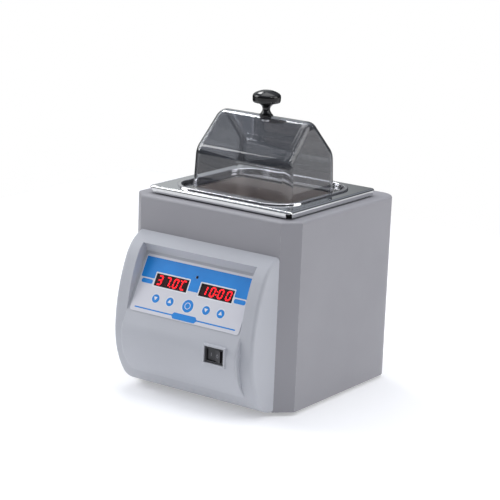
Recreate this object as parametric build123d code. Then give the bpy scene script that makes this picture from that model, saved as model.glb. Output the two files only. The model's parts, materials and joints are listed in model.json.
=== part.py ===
from build123d import *
from math import cos, radians, sin, tan
import os

# Small digital water bath: a painted sheet-metal case with a moulded control housing on its
# front, a deep-drawn stainless tank under a polished top plate, and a clear gabled lid.
# Millimetres. X is across the front, Y runs from front to back, +Z is up. The parts are drawn
# with Y = 0 on the case's front face and Z = 0 on its lower edge; save() moves them so that the
# origin is the centre of the outline on the surface that the feet stand on.

os.makedirs("parts", exist_ok=True)

# ---- driving dimensions -----------------------------------------------------------------------
CASE_W, CASE_D, CASE_H = 200, 190, 190
SHEET = 1.5                     # case and base sheet thickness
CHAMFER = 15                    # the two front vertical corners
REAR_R = 18                     # the two rear vertical corners
TOP_R = 2.5                     # rounding round the top deck
FOOT_H = 4
FIT = 0.1                       # radial clearance of screws and pins
GAP = 0.3                       # clearance between separate curved parts

TANK_Y = 90                     # centre of tank, plate and lid
PLATE_W, PLATE_D = 172, 154
PLATE_Z = CASE_H + 8            # top face of the polished plate
PLATE_T = 1
PLATE_R = 4                     # the plate's upright corners
PLATE_EDGE_R = 2.2              # round between its top and its lips
LIP_H = 6.5                     # down-turned edge of the plate
LIP_NOTCH = 5                   # lips stop this far from the plate's corners
RIM_W, RIM_D, RIM_R = 140, 130, 29      # outside of the recessed rim
LEDGE_DROP = 4                  # ledge below the plate's top face
LEDGE_Z = PLATE_Z - LEDGE_DROP
BEAD_OUT, BEAD_H = 3, 1.6       # bead that laps over the plate
MOUTH_W, MOUTH_D, MOUTH_R = 121, 109, 22
TANK_FLOOR = 48                 # inside of the tank's floor
TANK_T = 1
FLOOR_R = 12

LID_FLANGE_W, LID_FLANGE_D, LID_FLANGE_R, LID_FLANGE_T = 135, 125, 26.5, 2
LID_HALF_X, LID_HALF_Y = 60.7, 42
LID_WALL = 2
LID_EDGE_R = 8                  # edges round the two end walls
EAVE_R = 18                     # bend between each upright wall and its slope
LID_Z = LEDGE_Z                 # underside of the lid's flange
EAVE_Z = CASE_H + 46
RIDGE_R = 16                    # round along the ridge
LID_LEAN = 5                    # each end wall leans in this much up to the ridge
KNOB_R, KNOB_H = 14.3, 25.5
KNOB_FOOT_R = 7.2
KNOB_WIDE_Z = 19                # height of the knob's widest line

HOUSING_W = CASE_W - 2 * CHAMFER
HOUSING_WALL = 2.5
HOUSING_SIDE_R = 3.5
FACE_TILT = 28                  # control face leans back from upright
FACE_TOP_Y, FACE_TOP_Z = -8.0, 137.5
RECESS_TOP = (-11.7, 146.4)     # upper edge of the recess, in (Y, Z)
RECESS_HALF = 69.5
BULGE_HALF = 70.5
HOUSING_TOP = 155.5
BORDER_Y, BORDER_Z = -38.8, 62  # most forward line of the housing's border
BULGE_Y, BULGE_Z = -46, 60      # most forward line of its raised middle
FILM_W, FILM_H, FILM_T = 133, 59, 0.6
KEY_TRAVEL = 0.4
KEY_SEAT = 0.7                  # underside of a key's cap below the housing's face
DISPLAY_W, DISPLAY_H, DISPLAY_DEEP = 40.2, 12.8, 7.3

INLET_X, INLET_Z = 52, 46       # centre of the mains inlet on the rear face
INLET_W, INLET_H, INLET_FLANGE = 31, 46, 3
INLET_BODY_W, INLET_BODY_H, INLET_DEEP = 27, 40, 24
DRAWER_LIP = 1.5
RIM_OUT = 0.8                   # the power switch's rim stands this far in front of the bulge
Y_MID = (CASE_D + INLET_FLANGE + DRAWER_LIP + BULGE_Y - RIM_OUT) / 2

MIN_Z = (Align.CENTER, Align.CENTER, Align.MIN)
MAX_Z = (Align.CENTER, Align.CENTER, Align.MAX)


def save(name, shape):
    """Writes one node, moved into the part's own frame."""
    export_step(Pos(0, -Y_MID, FOOT_H) * shape, f"parts/{name}.step")


def group(solids):
    """Several separate solids as one shape."""
    return Compound(children=list(solids))


def slab(width, depth, radius, z_low, z_high, y=TANK_Y):
    """An upright block with a rounded rectangular outline, centred on the tank."""
    return Pos(0, y, z_low) * extrude(RectangleRounded(width, depth, radius), z_high - z_low)


def rod(radius, start, end):
    """A round bar between two points."""
    a, b = Vector(*start), Vector(*end)
    return Plane(origin=a, z_dir=b - a) * Cylinder(radius, (b - a).length, align=MIN_Z)


def side_prism(outline, half_width):
    """An outline drawn in (Y, Z), pulled to both sides of X = 0."""
    return extrude(Plane.YZ * outline, half_width, both=True)


def pan_screw(at, direction, shank_r, length, head_r, head_h):
    """A screw whose head's underside sits at a point and whose shank runs along direction."""
    plane = Plane(origin=at, z_dir=direction)
    head = fillet(Cylinder(head_r, head_h, align=MAX_Z).edges().group_by(Axis.Z)[0], head_h * 0.35)
    screw = head + Cylinder(shank_r, length, align=MIN_Z)
    for turn in (0, 90):
        screw -= Pos(0, 0, -head_h) * Rot(0, 0, turn) * Box(1.1 * head_r, 0.8, head_h, align=MIN_Z)
    return plane * screw


# ---- case, base and feet ----------------------------------------------------------------------
def case_plan(inset):
    """The case's outline from above, moved inwards by inset: chamfered front, rounded rear."""
    half, corner = CASE_W / 2 - inset, CHAMFER - inset * (2 - 2 ** 0.5)
    front, rear = inset, CASE_D - inset
    outline = Polyline((-half + corner, front), (half - corner, front), (half, front + corner),
                       (half, rear), (-half, rear), (-half, front + corner), close=True)
    plan = make_face(outline)
    return fillet(plan.vertices().group_by(Axis.Y)[-1], REAR_R - inset)


HOUSING_SCREWS = [(x, z) for x in (-76.5, 76.5) for z in (27, 139)]
TAB_SPOTS = [(x, y) for x in (-88, 88) for y in (36, 150)]
FOOT_SPOTS = [(x, y) for x in (-72, 72) for y in (27, 160)]
VENT_ROWS = [CASE_H - 92 + 9 * row for row in range(6)]
INLET_SCREW_X = [INLET_X - 20, INLET_X + 20]
BOARD_SPOTS = [(x, y) for x in (-80, 0) for y in (40, 108)]


def case_shell():
    body = extrude(case_plan(0), CASE_H)
    body = fillet(body.faces().sort_by(Axis.Z)[-1].edges(), TOP_R)
    hollow = extrude(case_plan(SHEET), CASE_H - SHEET)
    body -= hollow
    body -= slab(MOUTH_W + 8, MOUTH_D + 8, MOUTH_R + 4, CASE_H - 5, CASE_H + 5)
    body -= Pos(0, 0, 78) * Box(138, 10, 122)
    reach = extrude(case_plan(SHEET / 2), CASE_H)
    for x, z in HOUSING_SCREWS:
        body -= rod(1.5 + FIT, (x, -1, z), (x, 5, z))
    for z in VENT_ROWS:
        for x in (-46, 0, 46):
            body -= Pos(x, CASE_D, z) * Box(34, 10, 2.6)
    body -= Pos(INLET_X, CASE_D, INLET_Z) * Box(INLET_BODY_W + 0.6, 10, INLET_BODY_H + 0.6)
    for x in INLET_SCREW_X:
        body -= rod(1.5 + FIT, (x, CASE_D - 5, INLET_Z), (x, CASE_D + 1, INLET_Z))
    for x, y in TAB_SPOTS:
        wall_x = (CASE_W / 2 - SHEET / 2) * (1 if x > 0 else -1)
        body += Pos((x + wall_x) / 2, y, SHEET) * Box(abs(wall_x - x) + 10, 18, SHEET, align=MIN_Z) & reach
        body -= rod(1.5 + FIT, (x, y, 0), (x, y, 8))
    return body


def base_plate():
    plate = extrude(case_plan(SHEET + 0.2), SHEET)
    for row in range(7):
        for x in (-38, 38):
            plate -= Pos(x, 62 + 10 * row, 0) * Box(44, 3, 8)
    for x, y in TAB_SPOTS:
        plate -= rod(1.5 + FIT, (x, y, -1), (x, y, 4))
    for x, y in FOOT_SPOTS:
        plate -= rod(2 + FIT, (x, y, -1), (x, y, 4))
    for x, y in BOARD_SPOTS:
        plate -= rod(1.5 + FIT, (x, y, -1), (x, y, 4))
    return plate


def foot(x, y):
    rubber = Cone(8.5, 10, FOOT_H, align=MIN_Z)
    rubber = fillet(rubber.edges().group_by(Axis.Z)[0], 0.8)
    rubber -= Cylinder(4.4, FOOT_H / 2, align=MIN_Z)
    rubber -= Cylinder(2 + FIT, FOOT_H, align=MIN_Z)
    return Pos(x, y, -FOOT_H) * rubber


def foot_screw(x, y):
    return pan_screw((x, y, -FOOT_H / 2), (0, 0, 1), 2, 9, 4, 1.6)


def hex_nut(at, across, height, bore, direction=(0, 0, 1)):
    nut = extrude(RegularPolygon(across / 2, 6, major_radius=False), height)
    nut -= Cylinder(bore, height, align=MIN_Z)
    return Plane(origin=at, z_dir=direction) * nut


# ---- plate, rim and tank ----------------------------------------------------------------------
def top_plate():
    block = slab(PLATE_W, PLATE_D, PLATE_R, PLATE_Z - LIP_H, PLATE_Z)
    block = fillet(block.faces().sort_by(Axis.Z)[-1].edges(), PLATE_EDGE_R)
    inner = slab(PLATE_W - 2 * PLATE_T, PLATE_D - 2 * PLATE_T, PLATE_R - PLATE_T,
                 PLATE_Z - LIP_H - 1, PLATE_Z - PLATE_T)
    inner = fillet(inner.faces().sort_by(Axis.Z)[-1].edges(), PLATE_EDGE_R - PLATE_T)
    plate = block - inner
    for x in (-PLATE_W / 2, PLATE_W / 2):
        for y in (TANK_Y - PLATE_D / 2, TANK_Y + PLATE_D / 2):
            plate -= Pos(x, y, PLATE_Z - 2.5) * Box(2 * LIP_NOTCH, 2 * LIP_NOTCH, LIP_H, align=MAX_Z)
    return plate - slab(RIM_W + 0.4, RIM_D + 0.4, RIM_R + 0.2, PLATE_Z - 5, PLATE_Z + 5)


def plate_seal():
    outer = slab(PLATE_W - 8, PLATE_D - 8, 8, CASE_H, PLATE_Z - PLATE_T)
    return outer - slab(RIM_W + 1.5, RIM_D + 1.5, RIM_R + 0.75, CASE_H - 1, PLATE_Z + 1)


STUD_SPOTS = [(x, TANK_Y + y) for x in (-34, 34) for y in (-30, 30)]
PROBE_X, PROBE_Z = -22, 67
TANK_UNDER = TANK_FLOOR - TANK_T
TANK_FRONT = TANK_Y - MOUTH_D / 2


def tank():
    outside = slab(MOUTH_W + 2 * TANK_T, MOUTH_D + 2 * TANK_T, MOUTH_R + TANK_T, TANK_UNDER, LEDGE_Z)
    outside = fillet(outside.faces().sort_by(Axis.Z)[0].edges(), FLOOR_R + TANK_T)
    ledge = slab(RIM_W, RIM_D, RIM_R, LEDGE_Z - TANK_T, LEDGE_Z)
    riser = slab(RIM_W, RIM_D, RIM_R, LEDGE_Z - TANK_T, PLATE_Z)
    riser -= slab(RIM_W - 2, RIM_D - 2, RIM_R - 1, LEDGE_Z, PLATE_Z + 1)
    bead = slab(RIM_W + 2 * BEAD_OUT, RIM_D + 2 * BEAD_OUT, RIM_R + BEAD_OUT, PLATE_Z, PLATE_Z + BEAD_H)
    bead -= slab(RIM_W - 2, RIM_D - 2, RIM_R - 1, PLATE_Z - 1, PLATE_Z + BEAD_H + 1)
    bead = fillet(bead.faces().sort_by(Axis.Z)[-1].edges(), BEAD_H * 0.45)
    inside = slab(MOUTH_W, MOUTH_D, MOUTH_R, TANK_FLOOR, LEDGE_Z + 1)
    inside = fillet(inside.faces().sort_by(Axis.Z)[0].edges(), FLOOR_R)
    vessel = outside + ledge + riser + bead - inside
    return vessel - rod(4 + FIT, (PROBE_X, TANK_FRONT - 5, PROBE_Z), (PROBE_X, TANK_FRONT + 5, PROBE_Z))


def perforated_shelf():
    width, depth, skirt = MOUTH_W - 9, MOUTH_D - 9, 26
    deck = slab(width, depth, MOUTH_R - 5, TANK_FLOOR + skirt, TANK_FLOOR + skirt + 1)
    for x in range(-4, 5):
        for y in range(-3, 4):
            deck -= Pos(x * 11.5, TANK_Y + y * 12.5, TANK_FLOOR + skirt) * Cylinder(3.2, 6)
    for x in (-40, 40):
        deck += Pos(x, TANK_Y, TANK_FLOOR) * Box(1, 56, skirt + 0.5, align=MIN_Z)
    return deck


def insulation_jacket():
    wool = slab(MOUTH_W + 28, MOUTH_D + 28, MOUTH_R + 14, TANK_FLOOR + 6, CASE_H - SHEET - 1)
    wool -= slab(MOUTH_W + 4, MOUTH_D + 4, MOUTH_R + 2, 0, CASE_H + 5)
    return wool - Pos(PROBE_X, TANK_FRONT - 10, PROBE_Z) * Box(18, 24, 24)


HEATER_T, CLAMP_T = 3, 2
CLAMP_TOP = TANK_UNDER - HEATER_T
CLAMP_UNDER = CLAMP_TOP - CLAMP_T


def heater_sheet(width, depth, top, thickness):
    sheet = Pos(0, TANK_Y, top) * Box(width, depth, thickness, align=MAX_Z)
    for x, y in STUD_SPOTS:
        sheet -= rod(2 + FIT, (x, y, top - thickness - 1), (x, y, top + 1))
    return sheet


def thermal_cutout():
    disc = Pos(12, TANK_Y, CLAMP_UNDER) * Cylinder(8, 6, align=MAX_Z)
    stem = Pos(12, TANK_Y, CLAMP_UNDER - 6) * Cylinder(6, 5, align=MAX_Z)
    flange = Pos(12, TANK_Y, CLAMP_UNDER - 1) * extrude(SlotOverall(32, 9), 0.8)
    return disc + stem + flange


def sensor_probe():
    tube = rod(2.5, (0, 22, 0), (0, -12, 0)) + Pos(0, 22, 0) * Sphere(2.5)
    collar = rod(4, (0, 0, 0), (0, -12, 0)) + rod(6, (0, 1.5, 0), (0, 0, 0))
    return Pos(PROBE_X, TANK_FRONT, PROBE_Z) * (tube + collar)


def sensor_nut():
    return hex_nut((PROBE_X, TANK_FRONT - TANK_T, PROBE_Z), 13, 4, 4 + FIT, (0, -1, 0))


# ---- lid --------------------------------------------------------------------------------------
def gable(inset, z_low):
    """A closed gabled block that lies inset within the lid's outside.

    Its slopes rise at 45 degrees, its eaves and ridge are rounded and its ends lean in slightly.
    """
    half_x, half_y = LID_HALF_X - inset, LID_HALF_Y - inset
    eave_z = EAVE_Z - inset * (2 ** 0.5 - 1)
    apex = eave_z + half_y
    outline = make_face(Polyline((-half_y, z_low), (-half_y, eave_z), (0, apex), (half_y, eave_z),
                                 (half_y, z_low), close=True))
    outline = fillet(outline.vertices().group_by(Axis.Y)[-1], RIDGE_R - inset)
    outline = fillet(outline.vertices().filter_by(lambda v: abs(v.Y - eave_z) < 1e-3), EAVE_R - inset)
    block = side_prism(outline, half_x)
    ends = make_face(Polyline((-half_x, z_low), (half_x, z_low), (half_x - LID_LEAN, apex),
                              (-half_x + LID_LEAN, apex), close=True))
    block &= extrude(Plane.XZ * ends, half_y + 1, both=True)
    end_edges = [e for e in block.edges() if abs(e.center().X) > half_x - LID_LEAN - 0.5 and
                 e.center().Z > z_low + 1]
    block = fillet(end_edges, LID_EDGE_R - inset)
    return Pos(0, TANK_Y, 0) * block


def lid_dome():
    lid = gable(0, LID_Z)
    flange = slab(LID_FLANGE_W, LID_FLANGE_D, LID_FLANGE_R, LID_Z, LID_Z + LID_FLANGE_T)
    flange = fillet(flange.faces().sort_by(Axis.Z)[-1].edges(), 0.8)
    screw_hole = rod(2.5, (0, TANK_Y, EAVE_Z), (0, TANK_Y, EAVE_Z + 80))
    return lid + flange - gable(LID_WALL, LID_Z - 1) - screw_hole


RIDGE_Z = EAVE_Z + LID_HALF_Y - RIDGE_R * (2 ** 0.5 - 1)


def lid_knob():
    """Mushroom knob on a flared foot that straddles the ridge."""
    foot, wide = (KNOB_FOOT_R, 1), (KNOB_R, KNOB_WIDE_Z)
    with BuildLine() as half:
        Polyline((0, KNOB_H), (0, -3), (KNOB_FOOT_R, -3), foot)
        Spline(foot, (5.2, 3), (3.9, 5.8), (4.4, 8.8), (6.8, 11.4), (10.8, 13.8), wide,
               tangents=((-0.9, 0.4), (0, 1)))
        Spline(wide, (12.6, 22.4), (7.2, 24.9), (0, KNOB_H), tangents=((0, 1), (-1, 0)))
    solid = revolve(Plane.XZ * make_face(half.line), Axis.Z)
    solid = Pos(0, TANK_Y, RIDGE_Z - 0.6) * solid
    saddle = side_prism(Pos(TANK_Y, RIDGE_Z - RIDGE_R) * Circle(RIDGE_R), 20)
    screw_hole = rod(2 + FIT, (0, TANK_Y, RIDGE_Z - 2), (0, TANK_Y, RIDGE_Z + 12.2))
    return solid - saddle - screw_hole


def knob_washer():
    disc = Pos(0, TANK_Y, RIDGE_Z - 4.5) * Cylinder(5.5, 5, align=MIN_Z)
    inner = side_prism(Pos(TANK_Y, RIDGE_Z - RIDGE_R) * Circle(RIDGE_R - LID_WALL), 20)
    return (disc & inner) - rod(2 + FIT, (0, TANK_Y, RIDGE_Z - 9), (0, TANK_Y, RIDGE_Z + 9))


def knob_screw():
    return pan_screw((0, TANK_Y, RIDGE_Z - 4.5), (0, 0, 1), 2, 16, 3.8, 2.2)


# ---- control housing --------------------------------------------------------------------------
FACE_DOWN = tan(radians(FACE_TILT))             # Y moved forward per millimetre of height
FACE = Plane(origin=(0, FACE_TOP_Y, FACE_TOP_Z), x_dir=(1, 0, 0),
             z_dir=(0, -cos(radians(FACE_TILT)), sin(radians(FACE_TILT))))


def on_face(x, down, out=0.0):
    """A frame on the control face: x across, down the slope from its top, out along its normal."""
    return FACE * Pos(x, -down, out)


def face_y(z):
    return FACE_TOP_Y - (FACE_TOP_Z - z) * FACE_DOWN


def border_outline():
    """Side view of the housing's border: tangent arcs up and down from its most forward line."""
    nose, top, foot = (BORDER_Y, BORDER_Z), (0, HOUSING_TOP), (0, 0)
    rise = TangentArc(nose, (-23.1, 134), tangent=(0, 1))
    shoulder = TangentArc(rise @ 1, top, tangent=rise % 1)
    fall = TangentArc(nose, (-24, 13.5), tangent=(0, -1))
    chin = TangentArc(fall @ 1, foot, tangent=fall % 1)
    return make_face(rise + shoulder + fall + chin + Line(foot, top))


def bulge_outline():
    """Side view of the raised middle: the control face carried on and rounded under."""
    start_z, end = 88, (-23.1, 15)
    corner_z = FACE_TOP_Z - (FACE_TOP_Y - BULGE_Y) / FACE_DOWN
    run = corner_z - BULGE_Z
    join = (BULGE_Y + run * sin(radians(FACE_TILT)), corner_z + run * cos(radians(FACE_TILT)))
    crown = TangentArc(join, (BULGE_Y, BULGE_Z), tangent=(-FACE_DOWN, -1))
    under = TangentArc((BULGE_Y, BULGE_Z), end, tangent=(0, -1))
    back = Polyline(end, (-18, 18), (-18, start_z - 10), (face_y(start_z), start_z), join)
    return make_face(crown + under + back)


def recess_outline():
    """Side view of the space in front of the control face, open to the front."""
    low_z = 30
    return make_face(Polyline(
        RECESS_TOP, (FACE_TOP_Y, FACE_TOP_Z), (face_y(low_z), low_z), (-90, low_z),
        (-90, RECESS_TOP[1]), close=True))


KEYS = {
    "key_temp_down": (-39.7, 45.9, 4.3), "key_temp_up": (-22.2, 45.9, 4.3),
    "key_set": (0, 45.9, 6.3),
    "key_time_down": (22.2, 45.9, 4.3), "key_time_up": (39.7, 45.9, 4.3),
}
DISPLAY_SPOTS = {"left": -27.5, "right": 27.5}
DISPLAY_DOWN = 27
LED_DOWN = 16
FILM_DOWN = 3 + FILM_H / 2
BOARD_DOWN = 33
BOARD_OUT = -DISPLAY_DEEP - 0.3
POSTS = [(x, y) for x in (-59, 59) for y in (BOARD_DOWN - 24, BOARD_DOWN + 24)]
SWITCH_X, SWITCH_Z = 45, BULGE_Z
SWITCH_W, SWITCH_H = 22, 15.5
POCKET_W, POCKET_H, POCKET_DEEP = 23, 16.5, 3.2
SWITCH_Y = BULGE_Y - RIM_OUT + POCKET_DEEP      # floor of the switch's pocket


def switch_rim():
    """Raised rectangular rim round the power switch, with the pad behind its pocket."""
    rim = Pos(SWITCH_X, BULGE_Y - RIM_OUT, SWITCH_Z) * Box(
        POCKET_W + 4, POCKET_DEEP + 3, POCKET_H + 4, align=(Align.CENTER, Align.MIN, Align.CENTER))
    return fillet(rim.faces().sort_by(Axis.Y)[0].edges(), 0.7)


def front_housing():
    half = HOUSING_W / 2
    outer = side_prism(border_outline(), half)
    ends = [e for e in outer.edges() if abs(abs(e.center().X) - half) < 0.01 and e.center().Y < -0.5]
    outer = fillet(ends, HOUSING_SIDE_R)
    bulge = side_prism(bulge_outline(), BULGE_HALF)
    sides = [e for e in bulge.edges() if abs(abs(e.center().X) - BULGE_HALF) < 0.01 and e.center().Y < -25]
    bulge = fillet(sides, 2)
    shell = outer - side_prism(recess_outline(), RECESS_HALF) + bulge

    hollow = offset(border_outline(), -HOUSING_WALL)
    hollow += Pos(-2, 77) * Rectangle(6, 146)
    cavity = side_prism(hollow, half - HOUSING_WALL)
    cavity -= side_prism(offset(recess_outline(), HOUSING_WALL, kind=Kind.INTERSECTION),
                         RECESS_HALF + HOUSING_WALL)
    cavity += side_prism(offset(bulge_outline(), -HOUSING_WALL), BULGE_HALF - HOUSING_WALL)
    bosses = [rod(3.6, (x, 0, z), (x, -60, z)) & shell for x, z in HOUSING_SCREWS]
    shell -= cavity

    shell += switch_rim()
    shell -= Pos(SWITCH_X, SWITCH_Y - 5, SWITCH_Z) * Box(POCKET_W, 10, POCKET_H)
    shell -= Pos(SWITCH_X, SWITCH_Y, SWITCH_Z) * Box(19.8, 40, 13.4)

    for boss, (x, z) in zip(bosses, HOUSING_SCREWS):
        shell += boss
        shell -= rod(1.5 + 0.02, (x, 1, z), (x, -12, z))
    for x, down in POSTS:
        shell += on_face(x, down, -HOUSING_WALL + 0.5) * Cylinder(3, -BOARD_OUT - HOUSING_WALL + 0.5, align=MAX_Z)
        shell -= on_face(x, down, BOARD_OUT - 1) * Cylinder(1 + 0.02, 6, align=MIN_Z)
    for x in DISPLAY_SPOTS.values():
        shell -= on_face(x, DISPLAY_DOWN, -3) * Box(DISPLAY_W + 0.6, DISPLAY_H + 0.6, 8)
    for x, down, radius in KEYS.values():
        shell -= on_face(x, down, -KEY_SEAT - KEY_TRAVEL - 0.2) * Cylinder(radius + GAP, 4, align=MIN_Z)
        shell -= on_face(x, down, -3) * Cylinder(1.6 + GAP, 8)
    return shell - on_face(0, LED_DOWN, -3) * Cylinder(1.5 + FIT, 8)


def membrane_overlay():
    film = on_face(0, FILM_DOWN) * extrude(RectangleRounded(FILM_W, FILM_H, 2.5), FILM_T)
    for x in DISPLAY_SPOTS.values():
        film -= on_face(x, DISPLAY_DOWN) * Box(DISPLAY_W, DISPLAY_H, 4)
    for x, down, radius in KEYS.values():
        film -= on_face(x, down) * Cylinder(radius + 0.15, 4)
    return film - on_face(0, LED_DOWN) * Cylinder(1.5 + FIT, 4)


def key(x, down, radius):
    """One embossed key of the film with the plunger behind it."""
    cap = Cylinder(radius, 1.7, align=MIN_Z)
    cap = fillet(cap.edges().group_by(Axis.Z)[-1], 0.35)
    plunger = Cylinder(1.6, 3, align=MAX_Z)
    return on_face(x, down, -KEY_SEAT) * (cap + plunger)


def display_window(x):
    return on_face(x, DISPLAY_DOWN, -0.05) * Box(DISPLAY_W - 0.3, DISPLAY_H - 0.3, FILM_T, align=MIN_Z)


def display_module(x):
    body = Box(DISPLAY_W - 0.2, DISPLAY_H - 0.2, DISPLAY_DEEP - 0.1, align=MAX_Z)
    pins = [Pos(-15 + 6 * i, y, -DISPLAY_DEEP + 0.1) * Cylinder(0.3, 3.4, align=MAX_Z)
            for i in range(6) for y in (-5, 5)]
    for pin in pins:
        body += pin
    return on_face(x, DISPLAY_DOWN, -0.05) * body


def status_led():
    return on_face(0, LED_DOWN, -0.6) * (Cylinder(1.5, 6.5, align=MAX_Z) + Sphere(1.5))


def control_board():
    board = on_face(0, BOARD_DOWN, BOARD_OUT) * Box(128, 56, 1.6, align=MAX_Z)
    for x, down in POSTS:
        board -= on_face(x, down, BOARD_OUT) * Cylinder(1 + FIT, 8)
    for x in DISPLAY_SPOTS.values():
        for i in range(6):
            for y in (-5, 5):
                board -= on_face(x - 15 + 6 * i, DISPLAY_DOWN - y, BOARD_OUT) * Cylinder(0.3 + FIT, 8)
    return board


def tact_switch(x, down):
    can = Box(6, 6, 3.2, align=MIN_Z) + Cylinder(1.7, 3.4, align=MIN_Z)
    return on_face(x, down, BOARD_OUT) * can


def board_chip():
    chip = on_face(6, BOARD_DOWN, BOARD_OUT - 1.6) * Box(12, 12, 2, align=MAX_Z)
    return chamfer(chip.faces().sort_by(Axis.Y)[-1].edges(), 0.3)


# ---- power switch -----------------------------------------------------------------------------
ROCKER_W, ROCKER_H = 16.9, 11.4
ROCKER_TILT = 10
PIVOT_Y = SWITCH_Y + 1.5


def switch_body():
    bezel = Pos(SWITCH_X, SWITCH_Y - 1.8, SWITCH_Z) * Box(SWITCH_W, 1.8, SWITCH_H, align=(
        Align.CENTER, Align.MIN, Align.CENTER))
    bezel = fillet(bezel.faces().sort_by(Axis.Y)[0].edges(), 0.6)
    box = Pos(SWITCH_X, SWITCH_Y - 0.5, SWITCH_Z) * Box(19.4, 16, 13.0, align=(
        Align.CENTER, Align.MIN, Align.CENTER))
    cavity = Pos(SWITCH_X, SWITCH_Y - 4, SWITCH_Z) * Box(18.6, 13, ROCKER_H + 0.5, align=(
        Align.CENTER, Align.MIN, Align.CENTER))
    body = bezel + box - cavity
    body -= rod(1 + 0.05, (SWITCH_X, PIVOT_Y, SWITCH_Z - 6.6), (SWITCH_X, PIVOT_Y, SWITCH_Z + 6.6))
    for dx in (-7, 0, 7):
        body += Pos(SWITCH_X + dx, SWITCH_Y + 19, SWITCH_Z) * Box(0.8, 8, 4.8)
    return body


def switch_rocker():
    """V-faced rocker on two trunnions, drawn level and then tipped to its rest side."""
    half = ROCKER_W / 2
    reach = half * tan(radians(ROCKER_TILT))
    face_out = SWITCH_Y - 1.8
    top = Polyline((-half, face_out + 0.2), (0, face_out + reach), (half, face_out + 0.2),
                   (half - 1.6, PIVOT_Y + 1), (2.5, PIVOT_Y + 3.5), (-2.5, PIVOT_Y + 3.5),
                   (-half + 1.6, PIVOT_Y + 1), close=True)
    paddle = Pos(0, 0, SWITCH_Z) * extrude(make_face(top), ROCKER_H / 2, both=True)
    paddle += rod(1, (0, PIVOT_Y, SWITCH_Z - 6.4), (0, PIVOT_Y, SWITCH_Z + 6.4))
    tipped = Pos(0, PIVOT_Y, 0) * Rot(0, 0, -ROCKER_TILT) * Pos(0, -PIVOT_Y, 0) * paddle
    return Pos(SWITCH_X, 0, 0) * tipped


# ---- electronics in the base ------------------------------------------------------------------
BOARD_Z = 10
BOARD_TOP = BOARD_Z + 1.6


def power_board():
    board = Pos(-40, 74, BOARD_Z) * Box(92, 80, 1.6, align=MIN_Z)
    for x, y in BOARD_SPOTS:
        board -= rod(1.5 + FIT, (x, y, BOARD_Z - 1), (x, y, BOARD_Z + 4))
    return board


def standoff(x, y):
    return Pos(x, y, SHEET) * (Cylinder(3, BOARD_Z - SHEET, align=MIN_Z)
                               - Cylinder(1.5 + 0.02, BOARD_Z - SHEET, align=MIN_Z))


def transformer():
    core = Pos(-62, 74, BOARD_TOP) * Box(34, 28, 22, align=MIN_Z)
    coil = Pos(-62, 74, BOARD_TOP + 3) * Box(22, 38, 16, align=MIN_Z)
    return core + fillet(coil.edges().filter_by(Axis.Z), 4)


def relay():
    return fillet((Pos(-28, 100, BOARD_TOP) * Box(29, 13, 16, align=MIN_Z)).edges().filter_by(Axis.Z), 1)


def heat_sink():
    block = Pos(-14, 66, BOARD_TOP) * Box(3, 44, 24, align=MIN_Z)
    for i in range(7):
        block += Pos(-9, 48 + 6 * i, BOARD_TOP) * Box(8, 1.4, 24, align=MIN_Z)
    return block


def triac():
    tab = Pos(-17.5, 66, BOARD_TOP + 5) * Box(4, 10, 15, align=MIN_Z)
    for dy in (-2.5, 0, 2.5):
        tab += Pos(-17.5, 66 + dy, BOARD_TOP) * Box(0.6, 0.9, 6, align=MIN_Z)
    return tab


def terminal_block():
    block = Pos(-44, 46, BOARD_TOP) * Box(30, 9, 10, align=MIN_Z)
    for i in range(5):
        block -= Pos(-56 + 6 * i, 46, BOARD_TOP + 4) * Cylinder(1.8, 8, align=MIN_Z)
    return block


def capacitors():
    return [Pos(x, y, BOARD_TOP) * fillet(Cylinder(r, h, align=MIN_Z).edges(), 0.6)
            for x, y, r, h in ((-34, 78, 5, 14), (-34, 64, 4, 11), (-68, 102, 6.5, 8))]


CABLE_X, CABLE_HALF = -18, 8
CABLE_TOP = (-20.5, 84)
CABLE_FOOT = (38, BOARD_TOP + 6.4)


def ribbon_cable():
    """Flat lead from the control board down to the power board."""
    route = FilletPolyline(CABLE_TOP, (-9, 80), (-7, 44), (12, 24), CABLE_FOOT, radius=8)
    return Pos(CABLE_X, 0, 0) * side_prism(trace(route, 0.9), CABLE_HALF)


def cable_connectors():
    upper = on_face(CABLE_X, 51, BOARD_OUT - 1.6) * Box(20, 5, 3.2, align=MAX_Z)
    lower = Pos(CABLE_X, 40.5, BOARD_TOP) * Box(20, 5, 9, align=MIN_Z)
    return [upper, lower]


# ---- mains inlet ------------------------------------------------------------------------------
SOCKET_W, SOCKET_H, SOCKET_DEEP = 24, 16.5, 17
SOCKET_Z = INLET_Z + 8
DRAWER_Z = INLET_Z - 12.5
DRAWER_W, DRAWER_H, DRAWER_DEEP = 23.5, 9, 19
BACK = (Align.CENTER, Align.MAX, Align.CENTER)
REAR = CASE_D + INLET_FLANGE


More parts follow.
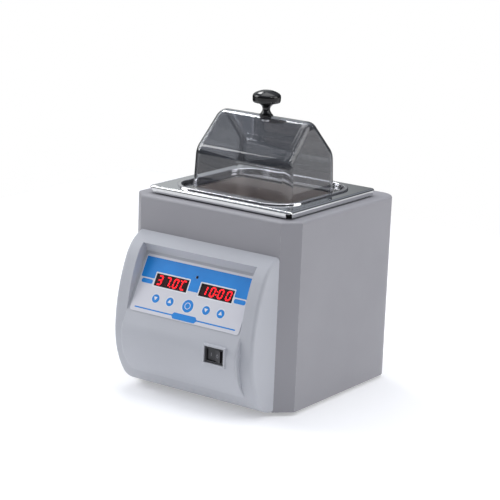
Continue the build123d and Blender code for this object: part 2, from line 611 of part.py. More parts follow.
def inlet_socket():
    plate = RectangleRounded(INLET_W, INLET_H, 3) + SlotOverall(50, 11)
    flange = Pos(INLET_X, CASE_D, INLET_Z) * extrude(Plane.XZ * plate, -INLET_FLANGE)
    flange = chamfer(flange.faces().sort_by(Axis.Y)[-1].edges(), 0.7)
    body = Pos(INLET_X, CASE_D + 0.5, INLET_Z) * Box(INLET_BODY_W, INLET_DEEP, INLET_BODY_H, align=BACK)
    mouth = Rectangle(SOCKET_W, SOCKET_H)
    mouth = chamfer(mouth.vertices().group_by(Axis.Y)[-1], 4.5)
    socket = Pos(INLET_X, REAR + 1, SOCKET_Z) * extrude(Plane.XZ * mouth, SOCKET_DEEP + 1)
    slot = Pos(INLET_X, REAR + 1, DRAWER_Z) * Box(
        DRAWER_W + 0.6, DRAWER_DEEP + 2, DRAWER_H + 0.6, align=BACK)
    inlet = flange + body - socket - slot
    for x in INLET_SCREW_X:
        inlet -= rod(1.5 + FIT, (x, CASE_D - 1, INLET_Z), (x, REAR + 1, INLET_Z))
    for x, z in PIN_SPOTS:
        inlet -= Pos(x, REAR - SOCKET_DEEP, z) * Box(4.2, 30, 2.2)
    return inlet


PIN_SPOTS = [(INLET_X - 7, SOCKET_Z - 2), (INLET_X, SOCKET_Z + 2), (INLET_X + 7, SOCKET_Z - 2)]


def inlet_pin(x, z):
    return Pos(x, REAR - 3, z) * Box(4, 33, 2, align=BACK)


def inlet_screw(x):
    return pan_screw((x, REAR, INLET_Z), (0, -1, 0), 1.5, 9, 2.8, 1.4)


def fuse_drawer():
    tray = Pos(INLET_X, REAR, DRAWER_Z) * Box(DRAWER_W, DRAWER_DEEP, DRAWER_H, align=BACK)
    tray -= Pos(INLET_X, REAR - 9, DRAWER_Z + 3) * Box(20.8, 6, 9)
    lip = Pos(INLET_X, REAR + DRAWER_LIP, DRAWER_Z) * Box(
        DRAWER_W + 2, DRAWER_LIP, DRAWER_H + 2, align=BACK)
    lip = chamfer(lip.faces().sort_by(Axis.Y)[-1].edges(), 0.5)
    return tray + lip - Pos(INLET_X, REAR + DRAWER_LIP, DRAWER_Z) * Box(10, 1.4, 1.6)


def fuse_link():
    return rod(2.5, (INLET_X - 10, REAR - 9, DRAWER_Z + 1.2), (INLET_X + 10, REAR - 9, DRAWER_Z + 1.2))


# ---- every node -------------------------------------------------------------------------------
NODES = {
    "case_shell": case_shell(),
    "base_plate": base_plate(),
    "base_screws": group(pan_screw((x, y, 0), (0, 0, 1), 1.5, 7, 2.8, 1.4) for x, y in TAB_SPOTS),
    "feet": group(foot(x, y) for x, y in FOOT_SPOTS),
    "foot_screws": group(foot_screw(x, y) for x, y in FOOT_SPOTS),
    "foot_nuts": group(hex_nut((x, y, SHEET), 7, 3.2, 2 + FIT) for x, y in FOOT_SPOTS),
    "top_plate": top_plate(),
    "plate_seal": plate_seal(),
    "tank": tank(),
    "perforated_shelf": perforated_shelf(),
    "insulation_jacket": insulation_jacket(),
    "heater_pad": heater_sheet(92, 80, TANK_UNDER, HEATER_T),
    "heater_clamp": heater_sheet(86, 74, CLAMP_TOP, CLAMP_T),
    "heater_studs": group(rod(2, (x, y, TANK_UNDER), (x, y, CLAMP_UNDER - 6)) for x, y in STUD_SPOTS),
    "heater_nuts": group(hex_nut((x, y, CLAMP_UNDER), 7, 3.2, 2 + FIT, (0, 0, -1))
                         for x, y in STUD_SPOTS),
    "thermal_cutout": thermal_cutout(),
    "sensor_probe": sensor_probe(),
    "sensor_nut": sensor_nut(),
    "lid_dome": lid_dome(),
    "lid_knob": lid_knob(),
    "knob_washer": knob_washer(),
    "knob_screw": knob_screw(),
    "front_housing": front_housing(),
    "housing_screws": group(pan_screw((x, SHEET, z), (0, -1, 0), 1.5, 11, 2.8, 1.8)
                            for x, z in HOUSING_SCREWS),
    "membrane_overlay": membrane_overlay(),
    "status_led": status_led(),
    "tact_switches": group(tact_switch(x, down) for x, down, radius in KEYS.values()),
    "control_board": control_board(),
    "control_chip": board_chip(),
    "control_board_screws": group(
        pan_screw(on_face(x, down, BOARD_OUT - 1.6).position, FACE.z_dir, 1, 5, 1.9, 1.2)
        for x, down in POSTS),
    "switch_body": switch_body(),
    "switch_rocker": switch_rocker(),
    "power_board": power_board(),
    "board_standoffs": group(standoff(x, y) for x, y in BOARD_SPOTS),
    "power_board_screws": group(pan_screw((x, y, BOARD_TOP), (0, 0, -1), 1.5, 5, 2.8, 1.4)
                                for x, y in BOARD_SPOTS),
    "standoff_screws": group(pan_screw((x, y, 0), (0, 0, 1), 1.5, 4.5, 2.8, 1.4) for x, y in BOARD_SPOTS),
    "transformer": transformer(),
    "relay": relay(),
    "heat_sink": heat_sink(),
    "triac": triac(),
    "capacitors": group(capacitors()),
    "terminal_block": terminal_block(),
    "ribbon_cable": ribbon_cable(),
    "cable_connectors": group(cable_connectors()),
    "inlet_socket": inlet_socket(),
    "inlet_pins": group(inlet_pin(x, z) for x, z in PIN_SPOTS),
    "inlet_screws": group(inlet_screw(x) for x in INLET_SCREW_X),
    "fuse_drawer": fuse_drawer(),
    "fuse_link": fuse_link(),
}
for side, x in DISPLAY_SPOTS.items():
    NODES[f"display_{side}"] = display_module(x)
    NODES[f"window_{side}"] = display_window(x)
for name, (x, down, radius) in KEYS.items():
    NODES[name] = key(x, down, radius)

for name, shape in NODES.items():
    save(name, shape)
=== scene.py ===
import json
from math import cos, pi, radians, sin, tan

import bpy
from mathutils import Matrix, Vector


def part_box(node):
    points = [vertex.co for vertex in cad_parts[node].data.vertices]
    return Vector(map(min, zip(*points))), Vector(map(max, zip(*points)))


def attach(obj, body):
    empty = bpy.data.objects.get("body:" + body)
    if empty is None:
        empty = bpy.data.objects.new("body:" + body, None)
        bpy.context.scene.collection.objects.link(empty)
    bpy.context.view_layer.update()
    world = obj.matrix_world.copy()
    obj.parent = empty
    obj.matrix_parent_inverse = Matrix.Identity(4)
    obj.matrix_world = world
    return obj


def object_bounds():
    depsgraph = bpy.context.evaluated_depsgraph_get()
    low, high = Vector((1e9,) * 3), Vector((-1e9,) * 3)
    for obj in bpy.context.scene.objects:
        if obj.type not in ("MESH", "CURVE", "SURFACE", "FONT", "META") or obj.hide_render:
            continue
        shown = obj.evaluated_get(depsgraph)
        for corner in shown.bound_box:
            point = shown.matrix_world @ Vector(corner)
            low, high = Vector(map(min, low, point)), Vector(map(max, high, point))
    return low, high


# Looks for a small digital water bath: painted case, moulded control housing with a printed film,
# stainless plate and tank, clear gabled lid. Metres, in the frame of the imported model.

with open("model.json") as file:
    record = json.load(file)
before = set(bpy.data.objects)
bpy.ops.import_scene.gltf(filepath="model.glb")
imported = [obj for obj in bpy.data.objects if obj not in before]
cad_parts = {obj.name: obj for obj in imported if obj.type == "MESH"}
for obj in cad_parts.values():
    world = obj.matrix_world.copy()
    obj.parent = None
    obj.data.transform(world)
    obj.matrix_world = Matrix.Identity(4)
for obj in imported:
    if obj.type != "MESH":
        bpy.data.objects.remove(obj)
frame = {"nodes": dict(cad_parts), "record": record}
cad_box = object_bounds()
MM = 0.001
RIM_HEIGHT = 0.196              # the tank's rim and ledge start here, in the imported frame


# ---- shader helpers ---------------------------------------------------------------------------
def srgb(red, green, blue):
    """A colour given as it looks on a screen, 0 to 255, turned into linear values with alpha 1."""
    def linear(value):
        share = value / 255
        return share / 12.92 if share <= 0.04045 else ((share + 0.055) / 1.055) ** 2.4
    return (linear(red), linear(green), linear(blue), 1.0)


def add(tree, kind, inputs=None, **settings):
    """A shader node with those settings; an input given as a socket is linked, else it is set."""
    made = tree.nodes.new("ShaderNode" + kind)
    for name, value in settings.items():
        setattr(made, name, value)
    for name, value in (inputs or {}).items():
        if isinstance(value, bpy.types.NodeSocket):
            tree.links.new(value, made.inputs[name])
        else:
            made.inputs[name].default_value = value
    return made


def new_material(name):
    material = bpy.data.materials.new(name)
    material.use_nodes = True
    return material, material.node_tree, material.node_tree.nodes["Principled BSDF"]


def where(tree, stretch=(1, 1, 1), turn=(0, 0, 0)):
    """The object's own coordinates in metres, stretched and turned."""
    place = add(tree, "TexCoord").outputs["Object"]
    return add(tree, "Mapping", {"Vector": place, "Scale": stretch, "Rotation": turn}).outputs["Vector"]


def noise(tree, place, scale, detail=2.0, rough=0.5):
    made = add(tree, "TexNoise", {"Vector": place, "Scale": scale, "Detail": detail, "Roughness": rough})
    return made.outputs["Fac"]


def spread(tree, value, low, high, start=0.3, end=0.7):
    """A noise value stretched from its usual start to end onto low to high."""
    made = add(tree, "MapRange", {"Value": value, "From Min": start, "From Max": end,
                                  "To Min": low, "To Max": high})
    return made.outputs["Result"]


def blend_colours(tree, share, first, second):
    made = add(tree, "Mix", data_type="RGBA")
    for socket, value in ((made.inputs[0], share), (made.inputs[6], first), (made.inputs[7], second)):
        if isinstance(value, bpy.types.NodeSocket):
            tree.links.new(value, socket)
        else:
            socket.default_value = value
    return made.outputs[2]


def edge_share(tree, radius):
    """1 along sharp edges and 0 on flat surfaces, broken up like handling wear."""
    rounded = add(tree, "Bevel", {"Radius": radius}, samples=4).outputs["Normal"]
    flat = add(tree, "NewGeometry").outputs["Normal"]
    along = add(tree, "VectorMath", {0: rounded, 1: flat}, operation="DOT_PRODUCT").outputs["Value"]
    edge = add(tree, "MapRange", {"Value": along, "From Min": 0.995, "From Max": 0.9}).outputs["Result"]
    broken = spread(tree, noise(tree, where(tree), 260, 3), 0.0, 1.0, 0.42, 0.62)
    return add(tree, "Math", {0: edge, 1: broken}, operation="MULTIPLY").outputs["Value"]


def surface(name, dark, light, rough, grain, bump, cloud=18, metallic=0.0, coat=0.0,
            stretch=(1, 1, 1), turn=(0, 0, 0), wear=None, wear_radius=0.9 * MM, detail=2.0):
    """A finish with clouded colour, uneven gloss and a fine grain; wear is the colour of rubbed edges.

    dark and light are its two colours, rough its lowest and highest roughness, grain the number of
    bumps in a metre and bump their height. stretch makes the grain run in one direction.
    """
    material, tree, shader = new_material(name)
    place = where(tree)
    colour = blend_colours(tree, spread(tree, noise(tree, place, cloud, 4), 0, 1), dark, light)
    if wear:
        colour = blend_colours(tree, edge_share(tree, wear_radius), colour, wear)
    tree.links.new(colour, shader.inputs["Base Color"])
    fine = noise(tree, where(tree, stretch, turn), grain, detail)
    smear = noise(tree, place, cloud * 3.1, 5, 0.6)
    mixed = add(tree, "Math", {0: fine, 1: smear}, operation="ADD").outputs["Value"]
    tree.links.new(spread(tree, mixed, rough[0], rough[1], 0.7, 1.3), shader.inputs["Roughness"])
    raised = add(tree, "Bump", {"Height": fine, "Distance": bump, "Strength": 1.0})
    tree.links.new(raised.outputs["Normal"], shader.inputs["Normal"])
    shader.inputs["Metallic"].default_value = metallic
    shader.inputs["Coat Weight"].default_value = coat
    shader.inputs["Coat Roughness"].default_value = 0.12
    return material


def clear_plastic(name, tint, roughness, shadow_tint):
    """Smooth see-through plastic with faint wipe marks; lamps shine through it."""
    material, tree, shader = new_material(name)
    wiped = noise(tree, where(tree, (1, 1, 0.35)), 60, 5, 0.65)
    tree.links.new(spread(tree, wiped, roughness[0], roughness[1], 0.45, 0.75), shader.inputs["Roughness"])
    hazed = blend_colours(tree, spread(tree, wiped, 0, 1), tint[0], tint[1])
    tree.links.new(hazed, shader.inputs["Base Color"])
    wavy = add(tree, "Bump", {"Height": noise(tree, where(tree), 34, 1), "Distance": 0.35 * MM,
                              "Strength": 0.12})
    tree.links.new(wavy.outputs["Normal"], shader.inputs["Normal"])
    shader.inputs["Transmission Weight"].default_value = 1.0
    shader.inputs["IOR"].default_value = 1.49
    lamp = add(tree, "LightPath").outputs["Is Shadow Ray"]
    through = add(tree, "BsdfTransparent", {"Color": shadow_tint})
    either = add(tree, "MixShader", {0: lamp, 1: shader.outputs["BSDF"], 2: through.outputs["BSDF"]})
    tree.links.new(either.outputs["Shader"], tree.nodes["Material Output"].inputs["Surface"])
    return material


def glowing(name, colour, strength):
    """Lit display segments: a red resin that glows a little unevenly."""
    material, tree, shader = new_material(name)
    glow = spread(tree, noise(tree, where(tree), 900, 2), 0.75 * strength, strength)
    tree.links.new(glow, shader.inputs["Emission Strength"])
    shader.inputs["Emission Color"].default_value = colour
    shader.inputs["Base Color"].default_value = colour
    shader.inputs["Roughness"].default_value = 0.4
    return material


def circuit_board():
    """Green solder mask with paler copper runs under it."""
    material, tree, shader = new_material("circuit_board")
    runs = add(tree, "TexVoronoi", {"Vector": where(tree), "Scale": 160}, distance="CHEBYCHEV",
               feature="DISTANCE_TO_EDGE")
    copper = spread(tree, runs.outputs["Distance"], 1, 0, 0.04, 0.07)
    colour = blend_colours(tree, copper, srgb(14, 84, 42), srgb(48, 128, 62))
    tree.links.new(colour, shader.inputs["Base Color"])
    raised = add(tree, "Bump", {"Height": copper, "Distance": 0.05 * MM})
    tree.links.new(raised.outputs["Normal"], shader.inputs["Normal"])
    rough = spread(tree, noise(tree, where(tree), 300, 3), 0.25, 0.45)
    tree.links.new(rough, shader.inputs["Roughness"])
    return material


def flat_lead():
    """Ribbon cable: round conductors side by side."""
    material, tree, shader = new_material("ribbon_grey")
    wave = add(tree, "TexWave", {"Vector": where(tree), "Scale": 250, "Distortion": 0.2},
               wave_type="BANDS", bands_direction="X")
    colour = blend_colours(tree, wave.outputs["Fac"], srgb(120, 120, 122), srgb(190, 190, 192))
    tree.links.new(colour, shader.inputs["Base Color"])
    raised = add(tree, "Bump", {"Height": wave.outputs["Fac"], "Distance": 0.3 * MM})
    tree.links.new(raised.outputs["Normal"], shader.inputs["Normal"])
    shader.inputs["Roughness"].default_value = 0.5
    return material


def tank_steel():
    """Satin drawn steel in the tank, and a bright polished rim above RIM_HEIGHT."""
    material = surface("tank_stainless", (0.60, 0.55, 0.53, 1), (0.70, 0.65, 0.62, 1), (0.34, 0.42), 900,
                       0.0008 * MM, cloud=8, metallic=1.0, stretch=(1, 1, 0.1), detail=3)
    tree = material.node_tree
    shader = tree.nodes["Principled BSDF"]
    height = add(tree, "SeparateXYZ", {"Vector": where(tree)}).outputs["Z"]
    rim = spread(tree, height, 0, 1, RIM_HEIGHT - MM, RIM_HEIGHT + MM)
    satin = shader.inputs["Base Color"].links[0].from_socket
    tree.links.new(blend_colours(tree, rim, satin, (0.80, 0.79, 0.81, 1)), shader.inputs["Base Color"])
    gloss = shader.inputs["Roughness"].links[0].from_socket
    scale = add(tree, "MapRange", {"Value": rim, "To Min": 1.0, "To Max": 0.35}).outputs["Result"]
    finer = add(tree, "Math", {0: gloss, 1: scale}, operation="MULTIPLY").outputs["Value"]
    tree.links.new(finer, shader.inputs["Roughness"])
    return material


def glass_wool():
    """Yellow fibres in a matted blanket."""
    material, tree, shader = new_material("glass_wool")
    fibres = noise(tree, where(tree, (1, 1, 4)), 420, 6, 0.75)
    colour = blend_colours(tree, spread(tree, fibres, 0, 1), srgb(176, 150, 84), srgb(236, 220, 160))
    tree.links.new(colour, shader.inputs["Base Color"])
    raised = add(tree, "Bump", {"Height": fibres, "Distance": 1.2 * MM})
    tree.links.new(raised.outputs["Normal"], shader.inputs["Normal"])
    shader.inputs["Roughness"].default_value = 0.95
    shader.inputs["Sheen Weight"].default_value = 0.4
    return material


# ---- one finish for each material slot --------------------------------------------------------
FINISHES = {
    "case_paint": surface("case_paint", srgb(150, 149, 154), srgb(156, 155, 160), (0.42, 0.56), 1500,
                          0.03 * MM, cloud=9, wear=srgb(182, 181, 184)),
    "housing_plastic": surface("housing_plastic", srgb(184, 186, 192), srgb(190, 192, 198),
                               (0.46, 0.60), 2600, 0.02 * MM, cloud=12, wear=srgb(204, 205, 210),
                               wear_radius=0.6 * MM),
    "film_grey": surface("film_grey", srgb(214, 214, 221), srgb(219, 219, 225), (0.30, 0.40), 3200,
                         0.008 * MM, cloud=30),
    "key_blue": surface("key_blue", srgb(4, 128, 212), srgb(12, 136, 220), (0.40, 0.50), 3200,
                        0.008 * MM, cloud=60),
    "polished_stainless": surface("polished_stainless", (0.68, 0.69, 0.70, 1), (0.74, 0.75, 0.76, 1),
                                  (0.07, 0.12), 500, 0.0001 * MM, cloud=7, metallic=1.0,
                                  stretch=(0.1, 1, 1), detail=3),
    "tank_stainless": tank_steel(),
    "shelf_stainless": surface("shelf_stainless", (0.58, 0.57, 0.56, 1), (0.68, 0.67, 0.66, 1),
                               (0.26, 0.40), 900, 0.0015 * MM, cloud=16, metallic=1.0,
                               stretch=(0.1, 1, 1), detail=3),
    "screw_steel": surface("screw_steel", (0.50, 0.50, 0.51, 1), (0.66, 0.66, 0.67, 1), (0.25, 0.45),
                           900, 0.01 * MM, cloud=150, metallic=1.0),
    "base_zinc": surface("base_zinc", (0.48, 0.49, 0.50, 1), (0.66, 0.67, 0.68, 1), (0.32, 0.50), 700,
                         0.01 * MM, cloud=45, metallic=1.0, detail=4),
    "brass_standoff": surface("brass_standoff", (0.62, 0.46, 0.22, 1), (0.78, 0.62, 0.32, 1),
                              (0.22, 0.40), 900, 0.01 * MM, cloud=150, metallic=1.0),
    "heat_sink_aluminium": surface("heat_sink_aluminium", (0.50, 0.51, 0.52, 1), (0.64, 0.65, 0.66, 1),
                                   (0.35, 0.50), 500, 0.01 * MM, cloud=60, metallic=1.0,
                                   stretch=(8, 8, 0.3)),
    "transformer_iron": surface("transformer_iron", srgb(60, 56, 50), srgb(98, 92, 82), (0.40, 0.60),
                                700, 0.06 * MM, cloud=90, stretch=(0.2, 6, 0.2)),
    "foot_rubber": surface("foot_rubber", srgb(24, 24, 25), srgb(38, 38, 39), (0.70, 0.88), 1400,
                           0.05 * MM, cloud=90),
    "seal_rubber": surface("seal_rubber", srgb(30, 30, 32), srgb(44, 44, 46), (0.60, 0.78), 1400,
                           0.03 * MM, cloud=90),
    "silicone_heater": surface("silicone_heater", srgb(150, 62, 36), srgb(178, 84, 50), (0.55, 0.70),
                               900, 0.08 * MM, cloud=60),
    "knob_black": surface("knob_black", srgb(6, 6, 7), srgb(9, 9, 10), (0.17, 0.21), 700,
                          0.0004 * MM, cloud=20),
    "black_plastic": surface("black_plastic", srgb(36, 36, 40), srgb(44, 44, 48), (0.34, 0.50), 2200,
                             0.02 * MM, cloud=80, wear=srgb(66, 66, 70), wear_radius=0.3 * MM),
    "display_black": surface("display_black", srgb(30, 22, 22), srgb(38, 28, 28), (0.35, 0.48), 1800,
                             0.01 * MM, cloud=80),
    "relay_blue": surface("relay_blue", srgb(28, 62, 140), srgb(36, 74, 158), (0.25, 0.40), 900,
                          0.01 * MM, cloud=80),
    "terminal_green": surface("terminal_green", srgb(38, 122, 66), srgb(48, 138, 76), (0.40, 0.55),
                              1400, 0.02 * MM, cloud=80),
    "circuit_board": circuit_board(),
    "ribbon_grey": flat_lead(),
    "glass_wool": glass_wool(),
    "clear_acrylic": clear_plastic("clear_acrylic", ((0.86, 0.87, 0.90, 1), (0.92, 0.93, 0.95, 1)),
                                   (0.0, 0.02), (0.93, 0.94, 0.95, 1)),
    "window_dark": clear_plastic("window_dark", ((0.50, 0.34, 0.34, 1), (0.54, 0.37, 0.37, 1)),
                                 (0.0, 0.03), (0.5, 0.3, 0.3, 1)),
    "fuse_glass": clear_plastic("fuse_glass", ((0.86, 0.88, 0.86, 1), (0.90, 0.92, 0.90, 1)),
                                (0.02, 0.08), (0.9, 0.9, 0.9, 1)),
}
WHITE_PRINT = surface("white_print", srgb(228, 229, 234), srgb(233, 234, 238), (0.30, 0.42), 3200,
                      0.006 * MM, cloud=60)
GREY_PRINT = surface("grey_print", srgb(126, 126, 132), srgb(140, 140, 146), (0.35, 0.5), 2200,
                     0.006 * MM, cloud=80)
LIT_RED = glowing("lit_segments", srgb(255, 30, 42), 3.2)
UNLIT_RED = surface("unlit_segments", srgb(62, 30, 30), srgb(72, 36, 35), (0.4, 0.5), 1800,
                    0.006 * MM, cloud=80)


def finish_nodes():
    for part in frame["record"]["subparts"]:
        mesh = frame["nodes"][part["node"]].data
        mesh.materials.clear()
        mesh.materials.append(FINISHES[part["material_slot"]])


finish_nodes()


# ---- outlines ---------------------------------------------------------------------------------
def rounded(corners, radius, steps=6):
    """A closed outline through the corners, each turned by an arc of that radius."""
    points = []
    count = len(corners)
    for i, corner in enumerate(corners):
        here = Vector(corner)
        back = (Vector(corners[i - 1]) - here)
        ahead = (Vector(corners[(i + 1) % count]) - here)
        reach = min(radius / tan(back.angle(ahead) / 2), back.length * 0.49, ahead.length * 0.49)
        start, end = here + back.normalized() * reach, here + ahead.normalized() * reach
        for step in range(steps + 1):
            share = step / steps
            points.append(start * (1 - share) ** 2 + here * 2 * share * (1 - share) + end * share ** 2)
    return points


def rectangle(x, y, width, height, radius):
    w, h = width / 2, height / 2
    return rounded([(x - w, y - h), (x + w, y - h), (x + w, y + h), (x - w, y + h)], radius)


def circle(x, y, radius, steps=48):
    return [Vector((x + radius * cos(2 * pi * i / steps), y + radius * sin(2 * pi * i / steps)))
            for i in range(steps)]


def inlay(name, outlines, place, thickness, material, body, bevel=0.0):
    """A thin plate cut to those outlines, drawn in millimetres on a plane; inner ones are holes."""
    curve = bpy.data.curves.new(name, "CURVE")
    curve.dimensions = "2D"
    curve.fill_mode = "BOTH"
    curve.extrude = thickness * MM / 2 - bevel * MM
    curve.bevel_depth = bevel * MM
    curve.bevel_resolution = 2
    curve.offset = -bevel * MM
    for outline in outlines:
        spline = curve.splines.new("POLY")
        spline.points.add(len(outline) - 1)
        for point, spot in zip(spline.points, outline):
            point.co = (spot.x * MM, spot.y * MM, 0, 1)
        spline.use_cyclic_u = True
    drawn = bpy.data.objects.new(name + "_curve", curve)
    bpy.context.scene.collection.objects.link(drawn)
    bpy.context.view_layer.update()
    mesh = bpy.data.meshes.new_from_object(drawn.evaluated_get(bpy.context.evaluated_depsgraph_get()))
    bpy.data.objects.remove(drawn)
    mesh.name = name
    mesh.transform(place @ Matrix.Translation((0, 0, thickness * MM / 2)))
    mesh.materials.clear()
    mesh.materials.append(material)
    piece = bpy.data.objects.new(name, mesh)
    bpy.context.scene.collection.objects.link(piece)
    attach(piece, body)
    return piece


# ---- the printed control face -----------------------------------------------------------------
FACE_TILT = radians(28)
FILM_T = 0.6                    # the film's thickness, in millimetres
PRINT_T = 0.06                  # printed shapes stand this proud of the film
FACE_X = Vector((1, 0, 0))
FACE_UP = Vector((0, sin(FACE_TILT), cos(FACE_TILT)))
FACE_OUT = Vector((0, -cos(FACE_TILT), sin(FACE_TILT)))
BAND_HALF, BAND_TOP, BAND_LOW = 65.5, 27.0, 5.7
NOTCH_IN, NOTCH_OUT, NOTCH_TOP = 6.2, 48.8, 13.2
TAB_LOW = 1.5
KEY_PROUD = 0.4                 # the keys' tops above the film


def face_place(at):
    """A plane parallel to the control face through a point of the row frame."""
    return Matrix((
        (FACE_X.x, FACE_UP.x, FACE_OUT.x, at.x), (FACE_X.y, FACE_UP.y, FACE_OUT.y, at.y),
        (FACE_X.z, FACE_UP.z, FACE_OUT.z, at.z), (0, 0, 0, 1)))


def middle(node):
    low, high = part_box(node)
    return (low + high) / 2


FILM = face_place(middle("membrane_overlay") + FACE_OUT * FILM_T * MM / 2)


def on_film(node):
    """A node's centre in the film's own plane, in millimetres."""
    spot = FILM.inverted() @ middle(node)
    return spot.x / MM, spot.y / MM


def blue_band():
    """The blue band across the top of the film, notched round the two displays."""
    corners = [(-BAND_HALF, BAND_TOP), (BAND_HALF, BAND_TOP), (BAND_HALF, BAND_LOW), (NOTCH_OUT, BAND_LOW),
               (NOTCH_OUT, NOTCH_TOP), (NOTCH_IN, NOTCH_TOP), (NOTCH_IN, TAB_LOW), (-NOTCH_IN, TAB_LOW),
               (-NOTCH_IN, NOTCH_TOP), (-NOTCH_OUT, NOTCH_TOP), (-NOTCH_OUT, BAND_LOW),
               (-BAND_HALF, BAND_LOW)]
    led_x, led_y = on_film("status_led")
    inlay("print_blue_band", [rounded(corners, 1.0), circle(led_x, led_y, 1.6)], FILM, PRINT_T,
          FINISHES["key_blue"], "case")


def lower_line():
    """The thin blue line under the keys with a rounded field in its middle."""
    y, half, thick, field_half, field_high = -25.4, 61.6, 0.65, 15.2, 3.2
    corners = [(-half, y - thick), (-field_half, y - thick), (-field_half + 2.2, y - field_high),
               (field_half - 2.2, y - field_high), (field_half, y - thick), (half, y - thick),
               (half, y + thick), (field_half, y + thick), (field_half - 2.2, y + field_high),
               (-field_half + 2.2, y + field_high), (-field_half, y + thick), (-half, y + thick)]
    inlay("print_lower_line", [rounded(corners, 1.2)], FILM, PRINT_T, FINISHES["key_blue"], "case")


def display_print(side):
    """White outline round a display, and the small blue field beside it."""
    x, y = on_film(f"window_{side}")
    outward = 1 if x > 0 else -1
    inlay(f"print_outline_{side}",
          [rectangle(x, y, 42.8, 15.4, 1.0), rectangle(x, y, 40.3, 12.9, 0.3)],
          FILM, PRINT_T, WHITE_PRINT, "case")
    inlay(f"print_field_{side}", [rectangle(outward * 56.6, 2.1, 13.7, 4.5, 2.1)], FILM, PRINT_T,
          FINISHES["key_blue"], "case")


ARROWS = {"key_temp_down": -1, "key_temp_up": 1, "key_time_down": -1, "key_time_up": 1}


def key_print(node):
    """The pale ring round a key, and the arrow on it."""
    low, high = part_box(node)
    x, y = on_film(node)
    radius = (high.x - low.x) / 2 / MM
    inlay(f"print_ring_{node}", [circle(x, y, radius + 1.2), circle(x, y, radius + 0.16)],
          FILM, PRINT_T, WHITE_PRINT, "case")
    top = FILM @ Matrix.Translation((0, 0, KEY_PROUD * MM))
    if node in ARROWS:
        tip, foot, half = 2.3 * ARROWS[node], -1.5 * ARROWS[node], 2.2
        arrow = rounded([(x - half, y + foot), (x + half, y + foot), (x, y + tip)], 0.4)
        inlay(f"print_arrow_{node}", [arrow], top, PRINT_T, WHITE_PRINT, node)
    else:
        ring = [circle(x, y, 3.4), circle(x, y, 2.8)]
        inlay(f"print_mark_{node}", ring, top, PRINT_T, WHITE_PRINT, node)


blue_band()
lower_line()
for side in ("left", "right"):
    display_print(side)
for node in ("key_temp_down", "key_temp_up", "key_set", "key_time_down", "key_time_up"):
    key_print(node)


# ---- display digits ---------------------------------------------------------------------------
DIGIT_H, DIGIT_W, BAR = 10.2, 5.9, 1.4          # seven-segment figures, in millimetres
DIGIT_PITCH, SLANT, BAR_GAP = 9.7, radians(8), 0.18
SEGMENTS = {
    "top": (0, 1, "across"), "middle": (0, 0, "across"), "bottom": (0, -1, "across"),
    "high_left": (-1, 0.5, "up"), "high_right": (1, 0.5, "up"),
    "low_left": (-1, -0.5, "up"), "low_right": (1, -0.5, "up"),
}
SHAPES = {
    "0": "top bottom high_left high_right low_left low_right",
    "1": "high_right low_right",
    "3": "top middle bottom high_right low_right",
    "7": "top high_right low_right",
    "C": "top bottom high_left low_left",
}


def bar(x, y, direction, length, width):
    """One pointed bar of a figure."""
    run, half = length / 2 - BAR_GAP, width / 2
    points = [(-run, 0), (-run + half, half), (run - half, half), (run, 0), (run - half, -half),
              (-run + half, -half)]
    turned = [(px, py) if direction == "across" else (-py, px) for px, py in points]
    return [Vector((x + px + (y + py) * tan(SLANT), y + py)) for px, py in turned]


def figure(x, lit):
    """Outlines of a figure's bars: those in its shape, or the dark rest."""
    wide, high = DIGIT_W - BAR, DIGIT_H - BAR
    outlines = []
    for name, (side, level, direction) in SEGMENTS.items():
        if name in lit:
            length = wide if direction == "across" else high / 2
            spot = (x + side * wide / 2, level * high / 2)
            outlines.append(bar(*spot, direction, length, BAR))
    return outlines


def leaning_dot(x, y, radius):
    return circle(x + y * tan(SLANT), y, radius, 20)


def display(side, text, dots):
    """Four figures behind a display's window, with its round points."""
    plane = face_place(middle(f"window_{side}")) @ Matrix.Translation((0, 0, -0.26 * MM))
    lit, unlit = [], []
    for i, letter in enumerate(text):
        x = (i - 1.5) * DIGIT_PITCH
        names = SHAPES[letter].split()
        lit += figure(x, names)
        unlit += figure(x, [name for name in SEGMENTS if name not in names])
    for x, y, radius in dots:
        lit.append(leaning_dot(x, y, radius))
    inlay(f"digits_{side}", lit, plane, 0.12, LIT_RED, "case")
    inlay(f"dark_digits_{side}", unlit, plane, 0.12, UNLIT_RED, "case")


display("left", "370C", [(-0.3, -4.2, 0.65), (1.5 * DIGIT_PITCH - 4.4, 4.0, 0.75)])
display("right", "1000", [(0, 1.7, 0.65), (0, -1.7, 0.65)])


# ---- marks on the power switch ----------------------------------------------------------------
def rocker_marks():
    """A bar and a ring on the rocker's two halves, square to each face."""
    low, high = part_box("switch_rocker")
    centre = (low + high) / 2
    mesh = frame["nodes"]["switch_rocker"].data
    for name, side in (("on", -1), ("off", 1)):
        faces = [p for p in mesh.polygons if p.normal.y < -0.5 and (p.center.x - centre.x) * side > 0]
        area = sum(p.area for p in faces)
        normal = sum((p.normal * p.area for p in faces), Vector()).normalized()
        spot = sum((p.center * p.area for p in faces), Vector()) / area
        across = Vector((0, 0, 1)).cross(normal).normalized()
        up = normal.cross(across)
        place = Matrix((
            (across.x, up.x, normal.x, spot.x), (across.y, up.y, normal.y, spot.y),
            (across.z, up.z, normal.z, spot.z), (0, 0, 0, 1)))
        shape = [rectangle(0, 0, 0.55, 3.4, 0.1)] if name == "on" else [circle(0, 0, 1.7), circle(0, 0, 1.2)]
        inlay(f"rocker_mark_{name}", shape, place, 0.05, GREY_PRINT, "rocker")


rocker_marks()


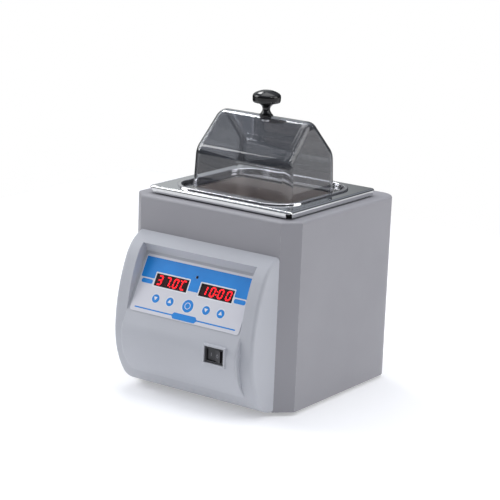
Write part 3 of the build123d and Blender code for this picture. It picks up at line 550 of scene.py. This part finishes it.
# ---- floor, light and camera ------------------------------------------------------------------
def stage_floor():
    material, tree, shader = new_material("floor")
    colour = blend_colours(tree, noise(tree, where(tree), 3, 3), (0.86, 0.86, 0.87, 1), (0.9, 0.9, 0.91, 1))
    tree.links.new(colour, shader.inputs["Base Color"])
    shader.inputs["Roughness"].default_value = 0.85
    shader.inputs["Emission Color"].default_value = (1, 1, 1, 1)
    shader.inputs["Emission Strength"].default_value = 0.25
    half = 0.75
    mesh = bpy.data.meshes.new("floor")
    mesh.from_pydata([(-half, -half, 0), (half, -half, 0), (half, half, 0), (-half, half, 0)], [],
                     [(0, 1, 2, 3)])
    mesh.materials.append(material)
    floor = bpy.data.objects.new("floor", mesh)
    bpy.context.scene.collection.objects.link(floor)


def studio_world():
    """White behind the object; what the object mirrors is a dim grey room, lighter overhead."""
    world = bpy.data.worlds.new("studio")
    bpy.context.scene.world = world
    world.use_nodes = True
    tree = world.node_tree
    direction = add(tree, "TexCoord").outputs["Generated"]
    height = add(tree, "SeparateXYZ", {"Vector": direction}).outputs["Z"]
    ramp = add(tree, "ValToRGB", {"Fac": spread(tree, height, 0, 1, -1, 1)})
    stops = ((0.0, 0.30), (0.30, 0.042), (0.60, 0.05), (0.72, 0.18), (1.0, 0.70))
    elements = ramp.color_ramp.elements
    while len(elements) < len(stops):
        elements.new(0.5)
    for element, (spot, grey) in zip(elements, stops):
        element.position = spot
        element.color = (grey * 0.95, grey, grey * 1.12, 1)
    left = add(tree, "VectorMath", {0: direction, 1: (-0.866, 0.5, 0.0)}, operation="DOT_PRODUCT")
    beside = spread(tree, left.outputs["Value"], 0, 1, 0.83, 0.90)
    above = spread(tree, height, 0, 1, 0.04, 0.14)
    pale_wall = add(tree, "Math", {0: beside, 1: above}, operation="MULTIPLY").outputs["Value"]
    walls = blend_colours(tree, pale_wall, ramp.outputs["Color"], (0.52, 0.54, 0.55, 1))
    front = add(tree, "VectorMath", {0: direction, 1: (0.707, -0.707, 0.0)}, operation="DOT_PRODUCT")
    ahead = spread(tree, front.outputs["Value"], 0, 1, -0.6, -0.3)
    below = spread(tree, height, 0, 1, 0.0, -0.08)
    pale_ground = add(tree, "Math", {0: ahead, 1: below}, operation="MULTIPLY").outputs["Value"]
    walls = blend_colours(tree, pale_ground, walls, (0.85, 0.85, 0.87, 1))
    room = add(tree, "Background", {"Color": walls, "Strength": 1.0})
    plain = add(tree, "Background", {"Color": (1, 1, 1, 1), "Strength": 1.0})
    seen = add(tree, "LightPath").outputs["Is Camera Ray"]
    either = add(tree, "MixShader", {0: seen, 1: room.outputs["Background"], 2: plain.outputs["Background"]})
    tree.links.new(either.outputs["Shader"], tree.nodes["World Output"].inputs["Surface"])


def softbox(name, azimuth, elevation, distance, width, height, watts):
    """A soft rectangular light aimed at the object; azimuth 0 is in front of it, 90 to its right."""
    a, e = radians(azimuth), radians(elevation)
    away = Vector((sin(a) * cos(e), -cos(a) * cos(e), sin(e)))
    target = (cad_box[0] + cad_box[1]) / 2
    lamp = bpy.data.lights.new(name, "AREA")
    lamp.shape = "RECTANGLE"
    lamp.size, lamp.size_y = width, height
    lamp.energy = watts
    box = bpy.data.objects.new(name, lamp)
    box.location = target + away * distance
    box.rotation_mode = "QUATERNION"
    box.rotation_quaternion = away.to_track_quat("Z", "Y")
    bpy.context.scene.collection.objects.link(box)


def photo_camera():
    """A long lens from the front right, a little above, with a slight tilt and shift."""
    azimuth, elevation, roll = radians(34.787), radians(13.836), radians(2.355)
    target = Vector((0, 0.02615, 0.154))
    distance, aside, lift = 1.93717, 0.006135, 0.008619
    back = Vector((sin(azimuth) * cos(elevation), -cos(azimuth) * cos(elevation), sin(elevation)))
    level = (-back).cross(Vector((0, 0, 1))).normalized()
    upright = level.cross(-back)
    right = level * cos(roll) + upright * sin(roll)
    up = upright * cos(roll) - level * sin(roll)
    spot = target + back * distance - right * aside - up * lift
    camera = bpy.data.cameras.new("camera")
    camera.sensor_width = 36
    camera.lens = 136.64
    camera.shift_x, camera.shift_y = -0.0218, -0.0212
    seat = bpy.data.objects.new("camera", camera)
    seat.matrix_world = Matrix((
        (right.x, up.x, back.x, spot.x), (right.y, up.y, back.y, spot.y),
        (right.z, up.z, back.z, spot.z), (0, 0, 0, 1)))
    bpy.context.scene.collection.objects.link(seat)
    bpy.context.scene.camera = seat


stage_floor()
studio_world()
softbox("left_light", -66, 30, 1.4, 0.7, 0.9, 9)
softbox("right_light", 116, 26, 1.3, 0.7, 0.9, 4.5)
softbox("edge_light", 81, 42, 1.3, 0.28, 0.28, 1.6)
softbox("top_light", 180, 82, 1.3, 1.1, 1.1, 7)
softbox("rear_light", 234, 46, 1.4, 0.18, 0.3, 2)
photo_camera()
bpy.context.scene.view_settings.view_transform = "Standard"
